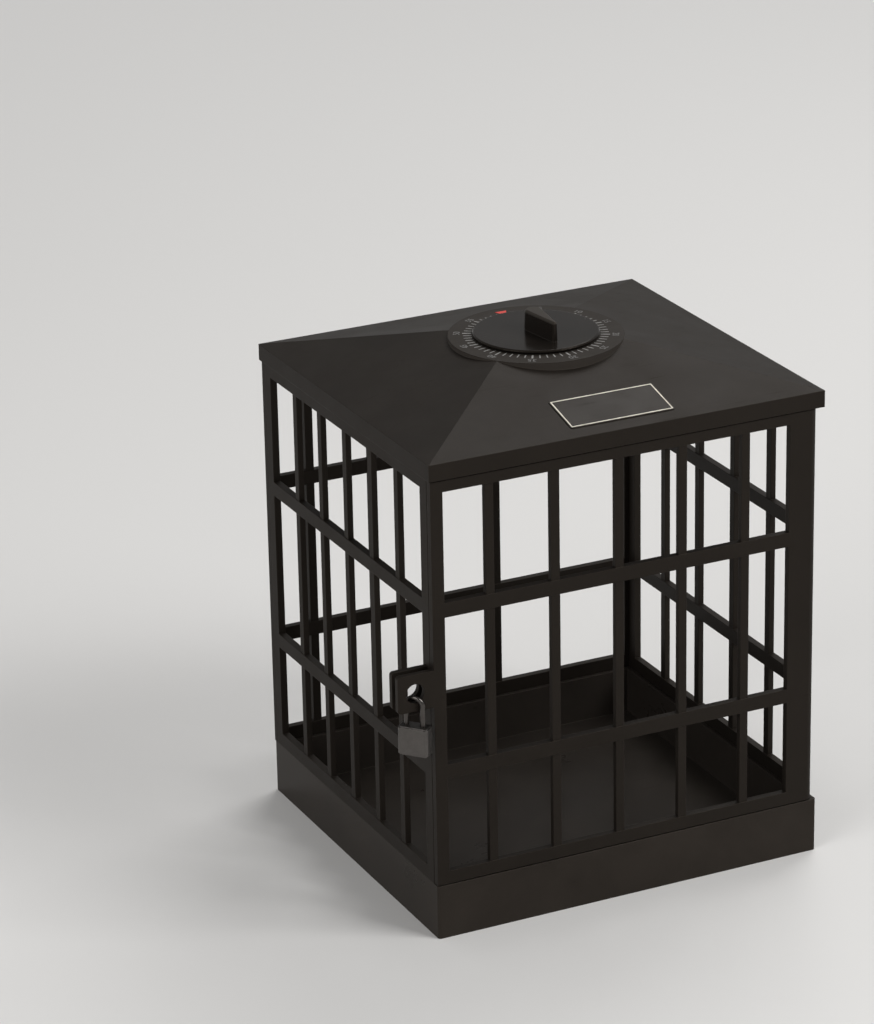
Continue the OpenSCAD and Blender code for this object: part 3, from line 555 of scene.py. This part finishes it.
def round_outline(wide, tall, corner, steps=8):
    """A rectangle with round corners as one closed outline, counter-clockwise: each corner's middle
    plus corner times the cosine and sine of an angle that runs through a quarter turn."""
    quarter = np.arange(4)
    angle = (quarter[:, None] + np.linspace(0.0, 1.0, steps)[None, :]) * math.pi / 2
    side = np.array([[1, 1], [-1, 1], [-1, -1], [1, -1]], float)
    middle = side * (np.array([wide, tall]) / 2 - corner)
    points = middle[:, None, :] + corner * np.stack([np.cos(angle), np.sin(angle)], axis=-1)
    return points.reshape(-1, 2)


def skin_faces(rings, size, closed):
    """Quads that join so many rings of size points each, and the last to the first where closed."""
    here = np.arange(size)
    after = (here + 1) % size
    low = np.arange(rings if closed else rings - 1)
    high = (low + 1) % rings
    low, high = low[:, None] * size, high[:, None] * size
    quads = np.stack([low + here, low + after, high + after, high + here], axis=-1)
    return quads.reshape(-1, 4).tolist()


def lifted(outline, height):
    """An outline at a height."""
    return np.column_stack([outline, np.full(len(outline), height)])


def on_slope(points, right, up):
    """Lays points (right, up the slope, off the slope) on the roof's front slope: the slope rises
    ROOF_RISE over the run from the front eave to the middle, so its two directions are
    (0, cos, sin) and (0, -sin, cos) of that tilt."""
    tilt = math.atan2(ROOF_RISE, -ROOF_FRONT)
    across = np.array([1.0, 0.0, 0.0])
    along = np.array([0.0, math.cos(tilt), math.sin(tilt)])
    off = np.array([0.0, -math.sin(tilt), math.cos(tilt)])
    eave = np.array([right, ROOF_FRONT, EAVE_Z])
    return eave + points[:, :1] * across + (points[:, 1:2] + up) * along + points[:, 2:] * off


def radial_boxes(angle, inner, outer, wide, low, high):
    """One box for each clockwise angle from +Y: its eight corners are all pairs of a side (half the
    width to the left or right), a radius (inner or outer) and a height, turned by the angle about
    Z."""
    side, reach, level = np.meshgrid([-0.5, 0.5], [0.0, 1.0], [low, high], indexing="ij")
    across = wide[:, None] * side.ravel()
    away = inner[:, None] + (outer - inner)[:, None] * reach.ravel()
    turn = angle[:, None]
    points = np.stack([across * np.cos(turn) + away * np.sin(turn),
                       away * np.cos(turn) - across * np.sin(turn),
                       np.broadcast_to(level.ravel(), across.shape)], axis=-1)
    box = np.array([[0, 1, 3, 2], [4, 6, 7, 5], [0, 4, 5, 1],
                    [2, 3, 7, 6], [0, 2, 6, 4], [1, 5, 7, 3]])
    faces = (np.arange(len(angle)) * side.size)[:, None, None] + box
    return points.reshape(-1, 3), faces.reshape(-1, 4).tolist()


def number_mesh(text, size, deep):
    """The points and faces of a number in the built-in letters, made a mesh, closed, and middled on
    zero."""
    weld = 1e-5 * size
    curve = bpy.data.curves.new("number", "FONT")
    curve.body = text
    curve.size = size
    curve.extrude = deep / 2
    curve.resolution_u = 6
    letter = bpy.data.objects.new("number", curve)
    bpy.context.scene.collection.objects.link(letter)
    bpy.context.view_layer.update()
    depsgraph = bpy.context.evaluated_depsgraph_get()
    mesh = bpy.data.meshes.new_from_object(letter.evaluated_get(depsgraph))
    work = bmesh.new()
    work.from_mesh(mesh)
    bmesh.ops.remove_doubles(work, verts=work.verts, dist=weld)
    bmesh.ops.recalc_face_normals(work, faces=work.faces)
    work.to_mesh(mesh)
    work.free()
    points = mesh_points(mesh)
    points -= (points.min(axis=0) + points.max(axis=0)) / 2
    faces = [tuple(face.vertices) for face in mesh.polygons]
    bpy.data.objects.remove(letter)
    bpy.data.curves.remove(curve)
    bpy.data.meshes.remove(mesh)
    return points, faces


def turned_out(points, angle, away, height):
    """Moves points out by a radius along +Y, turns them clockwise by an angle about Z, and lifts
    them."""
    moved = points + np.array([0.0, away, 0.0])
    return np.column_stack([moved[:, 0] * math.cos(angle) + moved[:, 1] * math.sin(angle),
                            moved[:, 1] * math.cos(angle) - moved[:, 0] * math.sin(angle),
                            moved[:, 2] + height])


# ---------------------------------------------------------------- operators

class JAIL_OT_dress_cage(bpy.types.Operator):
    """Give the base, the barred panels, the door and the roof their moulded plastic"""
    bl_idname = "phone_cage.dress_cage"
    bl_label = "Dress the cage"

    def execute(self, context):
        look = context.scene.jail_plastic
        case_rough = look.cage_rough + 0.1
        finish_nodes(BARRED_NODES, moulded_plastic(
            "cage_plastic_satin", look, look.cage_color, look.cage_rough, look.cage_shine,
            relief=0.32, dusty=0.1))
        finish_nodes(("roof",), moulded_plastic(
            "roof_plastic_satin", look, look.cage_color, look.cage_rough, look.cage_shine,
            relief=0.32, dusty=0.1, zones=self.dial_zones(look)))
        finish_nodes(("base_tray",), moulded_plastic(
            "tray_plastic_smooth", look, look.tray_color, look.tray_rough, look.tray_shine,
            relief=0.2, dusty=0.1))
        finish_nodes(("timer_case",), moulded_plastic(
            "case_plastic_matt", look, look.cage_color, case_rough, look.cage_shine,
            relief=0.5, dusty=0.06, grain=1.4))
        return {"FINISHED"}

    def dial_zones(self, look):
        """The dial's platform: its low wall, found by its radius, then its ring on top. Both are
        painted
        light: the wall is coloured lighter to hide its shade, and the ring lighter as a painted
        sheen.
        """
        reach = dial_reach()
        wall_start, wall_end = reach + 0.08 * MM, reach + 0.04 * MM
        ring_start, ring_end = DIAL_TOP - 0.3 * MM, DIAL_TOP - 0.1 * MM
        return [
            ("radius", wall_start, wall_end, look.wall_color, look.ring_dull),
            ("height", ring_start, ring_end, look.ring_color, 0.0),
        ]


class JAIL_OT_dress_timer(bpy.types.Operator):
    """Give the knob its smoother plastic and the clockwork its brass and steel"""
    bl_idname = "phone_cage.dress_timer"
    bl_label = "Dress the timer"

    def execute(self, context):
        look = context.scene.jail_plastic
        metal = context.scene.jail_metal
        # Painted highlight: the top of the grip is coloured lighter than the knob, standing in for
        # the light on its top face; it also gains roughness.
        grip_top_start, grip_top_end = GRIP_TOP - 1.2 * MM, GRIP_TOP - 0.4 * MM
        grip = ("height", grip_top_start, grip_top_end, look.worn_color, look.worn_dull)
        axis = (0.0, 0.0, 0.0)
        finish_nodes(("timer_knob",), moulded_plastic(
            "knob_plastic_smooth", look, look.knob_color, look.knob_rough, look.knob_shine,
            relief=0.1, dusty=0.06, grain=0.7, zones=[grip]))
        for joint in frame["joints"]:
            wheel = WHEELS.get(joint["child"])
            if wheel:
                finish_nodes((wheel,), bare_metal(
                    wheel + "_turned_brass", metal, metal.brass_color, metal.brass_rough,
                    centre=joint["pos_m"]))
        for name in ROUND_STEEL_NODES:
            finish_nodes((name,), bare_metal(
                name + "_turned_steel", metal, metal.steel_color, metal.steel_rough,
                centre=axis))
        finish_nodes(PLATE_NODES, bare_metal(
            "plate_brushed_brass", metal, metal.brass_color, metal.brass_rough, along=0))
        finish_nodes(SMALL_STEEL_NODES, bare_metal(
            "small_part_steel", metal, metal.steel_color, metal.steel_rough, along=1))
        return {"FINISHED"}


class JAIL_OT_dress_padlock(bpy.types.Operator):
    """Give the padlock its dark brushed body and shackle and its brass key plug"""
    bl_idname = "phone_cage.dress_padlock"
    bl_label = "Dress the padlock"

    def execute(self, context):
        metal = context.scene.jail_metal
        low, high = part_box("padlock_plug")
        finish_nodes(("padlock_body",), bare_metal(
            "padlock_dark_brushed", metal, metal.lock_color, metal.lock_rough, along=1))
        finish_nodes(("padlock_shackle",), bare_metal(
            "shackle_dark_steel", metal, metal.shackle_color, metal.steel_rough, along=2))
        finish_nodes(("padlock_plug",), bare_metal(
            "plug_turned_brass", metal, metal.brass_color, metal.brass_rough,
            centre=tuple((low + high) / 2)))
        return {"FINISHED"}


class JAIL_OT_print_dial(bpy.types.Operator):
    """Print the minute ticks, the numbers and the zero mark on the roof's platform"""
    bl_idname = "phone_cage.print_dial"
    bl_label = "Print the dial"

    def execute(self, context):
        dial = context.scene.jail_dial
        if dial.minutes % dial.step:
            raise RuntimeError("the dial's minutes have to be a whole number of steps")
        ground = context.scene.jail_plastic.cage_color
        low, high = DIAL_TOP - dial.sunk, DIAL_TOP + dial.ink
        self.print_ticks(dial, printed_ink("dial_ink_pale", dial.ink_color, ground), low, high)
        self.print_numbers(dial, printed_ink("dial_ink_grey", dial.number_color, ground), low, high)
        self.print_mark(dial, printed_ink("dial_ink_red", dial.mark_color, ground), low, high)
        return {"FINISHED"}

    def print_ticks(self, dial, ink, low, high):
        """One box for each minute but the first, where the zero mark is."""
        minute = np.arange(1, dial.minutes)
        numbered = minute % dial.step == 0
        points, faces = radial_boxes(minute * 2 * math.pi / dial.minutes,
                                     np.full(len(minute), dial.tick_in),
                                     dial.tick_out + dial.step_more * numbered,
                                     np.where(numbered, dial.step_wide, dial.tick_wide), low, high)
        add_piece("dial_ticks", points, faces, ink, "cage")

    def print_numbers(self, dial, ink, low, high):
        """The number of every step, its foot towards the knob."""
        all_points, all_faces, first = [], [], 0
        for value in range(dial.step, dial.minutes, dial.step):
            points, faces = number_mesh(str(value), dial.number_size, high - low)
            turn = value * 2 * math.pi / dial.minutes
            all_points.append(turned_out(points, turn, dial.number_at, (low + high) / 2))
            all_faces += [tuple(first + corner for corner in face) for face in faces]
            first += len(points)
        add_piece("dial_numbers", np.concatenate(all_points), all_faces, ink, "cage")

    def print_mark(self, dial, ink, low, high):
        """A triangle that points at the knob: its three corners, low and high."""
        flat = np.array([[0.0, dial.mark_in], [dial.mark_wide / 2, dial.mark_out],
                         [-dial.mark_wide / 2, dial.mark_out]])
        points = np.concatenate([lifted(flat, low), lifted(flat, high)])
        faces = skin_faces(2, 3, False) + [(2, 1, 0), (3, 4, 5)]
        add_piece("dial_zero_mark", points, faces, ink, "cage")


class JAIL_OT_fit_plate(bpy.types.Operator):
    """Fit the bare plate with its printed border on the roof's front slope"""
    bl_idname = "phone_cage.fit_plate"
    bl_label = "Fit the roof plate"

    def execute(self, context):
        plate = context.scene.jail_plate
        look = context.scene.jail_plastic
        if 2 * (plate.border_in + plate.border_wide) >= plate.tall:
            raise RuntimeError("the plate's border doesn't fit inside the plate")
        film_rough = look.cage_rough - 0.1
        film = moulded_plastic(
            "roof_plate_film", look, plate.face_color, film_rough, look.cage_shine,
            relief=0.1, dusty=0.06, grain=0.5, cloud=0.4, edge=0.3)
        cream = printed_ink("roof_plate_border_ink", plate.border_color, plate.face_color)
        self.lay_film(plate, film)
        self.print_border(plate, cream)
        return {"FINISHED"}

    def outline(self, plate, inset):
        """The plate's outline drawn in by an inset, its corners kept a little round."""
        return round_outline(plate.wide - 2 * inset, plate.tall - 2 * inset,
                             max(plate.corner - inset, 0.2 * plate.corner))

    def lay_film(self, plate, film):
        """Three outlines, from just under the slope to the chamfered face, skinned and closed."""
        foot = -0.1 * plate.thick
        rings = [lifted(self.outline(plate, 0.0), foot),
                 lifted(self.outline(plate, 0.0), plate.thick - plate.chamfer),
                 lifted(self.outline(plate, plate.chamfer), plate.thick)]
        size = len(rings[0])
        faces = skin_faces(3, size, False)
        faces += [tuple(range(size))[::-1], tuple(range(2 * size, 3 * size))]
        points = on_slope(np.concatenate(rings), plate.right, plate.up)
        add_piece("roof_plate", points, faces, film, "cage")

    def print_border(self, plate, ink):
        """A closed frame: an outer and an inner outline, each at its foot and at its top."""
        outer = self.outline(plate, plate.border_in)
        inner = self.outline(plate, plate.border_in + plate.border_wide)
        low, high = 0.8 * plate.thick, plate.thick + plate.ink
        rings = [lifted(outer, low), lifted(outer, high), lifted(inner, high), lifted(inner, low)]
        points = on_slope(np.concatenate(rings), plate.right, plate.up)
        faces = skin_faces(4, len(outer), True)
        add_piece("roof_plate_border", points, faces, ink, "cage")


class JAIL_OT_set_stage(bpy.types.Operator):
    """Set the floor, the soft lamps, the even background and the camera"""
    bl_idname = "phone_cage.set_stage"
    bl_label = "Set the stage"

    lamps = (
        # name, place, target, width, watts
        ("key_front_right", (0.95, -1.15, 1.35), (0.0, 0.0, 0.10), 0.9, 21.0),
        ("fill_left", (-1.5, -0.55, 0.85), (0.0, 0.0, 0.10), 1.1, 11.0),
        ("top_back", (0.86, 0.72, 1.45), (0.0, 0.0, 0.15), 0.9, 10.5),
    )

    def execute(self, context):
        stage = context.scene.jail_stage
        context.scene.view_settings.view_transform = "Standard"
        self.lay_floor(context, stage)
        self.light_world(context, stage)
        for lamp in self.lamps:
            self.hang_lamp(context, *lamp)
        self.set_camera(context, stage)
        return {"FINISHED"}

    def hang_lamp(self, context, name, at, target, wide, watts):
        """A square soft lamp that faces its target."""
        lamp = bpy.data.lights.new(name, "AREA")
        lamp.shape = "RECTANGLE"
        lamp.size, lamp.size_y, lamp.energy = wide, wide, watts
        holder = bpy.data.objects.new(name, lamp)
        context.scene.collection.objects.link(holder)
        facing = (Vector(target) - Vector(at)).to_track_quat("-Z", "Y")
        holder.matrix_world = Matrix.Translation(at) @ facing.to_matrix().to_4x4()

    def lay_floor(self, context, stage):
        """A flat grid of quads whose points stand closer together in the middle: half the width
        times the cube of a parameter from -1 to 1."""
        lines, under = 25, 0.02 * MM
        step = np.linspace(-1.0, 1.0, lines) ** 3 * stage.floor_wide / 2
        across, deep = np.meshgrid(step, step, indexing="ij")
        points = np.column_stack([across.ravel(), deep.ravel(), np.full(across.size, -under)])
        corner = (np.arange(lines - 1)[:, None] * lines + np.arange(lines - 1)).ravel()
        faces = np.column_stack([corner, corner + lines, corner + lines + 1, corner + 1])
        mesh = bpy.data.meshes.new("floor")
        mesh.from_pydata(points.tolist(), [], faces.tolist())
        mesh.materials.append(self.floor_finish(stage))
        floor = bpy.data.objects.new("floor", mesh)
        context.scene.collection.objects.link(floor)

    def floor_finish(self, stage):
        """A pale matt floor. The far floor, where no lamp reaches, keeps its pale colour for every
        ray that shows it."""
        near, far_off = 0.7, 2.6  # metres from the middle
        cloud_rate, cloud_dark, shine = 3.0, 0.97, 0.2
        material, tree, shader, at = fresh_material("pale_floor")
        cloud = noise(tree, at, cloud_rate, Detail=4.0)
        darker = tuple(cloud_dark * c for c in stage.floor_color)
        join(tree, shader, {"Base Color": tint(tree, cloud, stage.floor_color, darker),
                            "Roughness": spread(tree, cloud, 0.3, 0.7, 0.6, 0.72),
                            "Specular IOR Level": shine})
        away = vector(tree, "LENGTH", at)["Value"]
        ray = add(tree, "ShaderNodeLightPath").outputs
        seen = combine(tree, "ADD", ray["Is Camera Ray"], ray["Is Glossy Ray"])
        seen = combine(tree, "ADD", seen, ray["Is Transmission Ray"])
        far = combine(tree, "MULTIPLY", spread(tree, away, near, far_off), seen)
        pale = add(tree, "ShaderNodeEmission", {"Color": rgba(stage.back_color)})
        both = add(tree, "ShaderNodeMixShader",
                   {0: far, 1: shader.outputs[0], 2: pale.outputs[0]})
        join(tree, tree.nodes["Material Output"], {"Surface": both.outputs[0]})
        return material

    def light_world(self, context, stage):
        """A pale band at the horizon and a dimmer light above it, by the direction's height."""
        band_top, fill_from = 0.02, 0.1  # heights of a direction whose length is 1
        world = bpy.data.worlds.new("pale_studio")
        world.use_nodes = True
        context.scene.world = world
        tree = world.node_tree
        way = add(tree, "ShaderNodeTexCoord").outputs["Generated"]
        height = add(tree, "ShaderNodeSeparateXYZ", {0: way}).outputs["Z"]
        above = spread(tree, height, band_top, fill_from)
        dim = (stage.fill, stage.fill, stage.fill)
        join(tree, tree.nodes["Background"],
             {"Color": tint(tree, above, stage.back_color, dim), "Strength": 1.0})

    def set_camera(self, context, stage):
        """A camera that looks from the eye to the target, turned about its line of sight by the
        roll."""
        camera = bpy.data.cameras.new("photo_camera")
        camera.lens = stage.lens
        camera.sensor_width = 36.0
        camera.clip_start, camera.clip_end = 0.05, 60.0
        holder = bpy.data.objects.new("photo_camera", camera)
        context.scene.collection.objects.link(holder)
        eye, look = Vector(stage.eye), Vector(stage.look)
        facing = (look - eye).normalized()
        level = facing.cross(Vector((0.0, 0.0, 1.0))).normalized()
        upright = level.cross(facing)
        right = level * math.cos(stage.roll) + upright * math.sin(stage.roll)
        up = upright * math.cos(stage.roll) - level * math.sin(stage.roll)
        turn = Matrix((right, up, -facing)).transposed().to_4x4()
        holder.matrix_world = Matrix.Translation(eye) @ turn
        context.scene.camera = holder


class JAIL_PT_cage(bpy.types.Panel):
    """The cage's pieces, in the order in which they are made"""
    bl_idname = "JAIL_PT_cage"
    bl_label = "Phone cage"
    bl_space_type = "VIEW_3D"
    bl_region_type = "UI"
    bl_category = "Phone cage"

    def draw(self, context):
        for maker in OPERATORS:
            self.layout.operator(maker.bl_idname)
        for name, group in SETTINGS.items():
            box = self.layout.box()
            for key in group.__annotations__:
                box.prop(getattr(context.scene, name), key)


OPERATORS = (
    JAIL_OT_dress_cage,
    JAIL_OT_dress_timer,
    JAIL_OT_dress_padlock,
    JAIL_OT_print_dial,
    JAIL_OT_fit_plate,
    JAIL_OT_set_stage,
)


def register():
    for name, group in SETTINGS.items():
        bpy.utils.register_class(group)
        setattr(bpy.types.Scene, name, PointerProperty(type=group))
    for item in OPERATORS + (JAIL_PT_cage,):
        bpy.utils.register_class(item)


def unregister():
    for item in reversed(OPERATORS + (JAIL_PT_cage,)):
        bpy.utils.unregister_class(item)
    for name, group in SETTINGS.items():
        delattr(bpy.types.Scene, name)
        bpy.utils.unregister_class(group)


def main():
    """Registers the classes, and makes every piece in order."""
    register()
    bpy.ops.phone_cage.dress_cage()
    bpy.ops.phone_cage.dress_timer()
    bpy.ops.phone_cage.dress_padlock()
    bpy.ops.phone_cage.print_dial()
    bpy.ops.phone_cage.fit_plate()
    bpy.ops.phone_cage.set_stage()


if __name__ == "__main__":
    main()
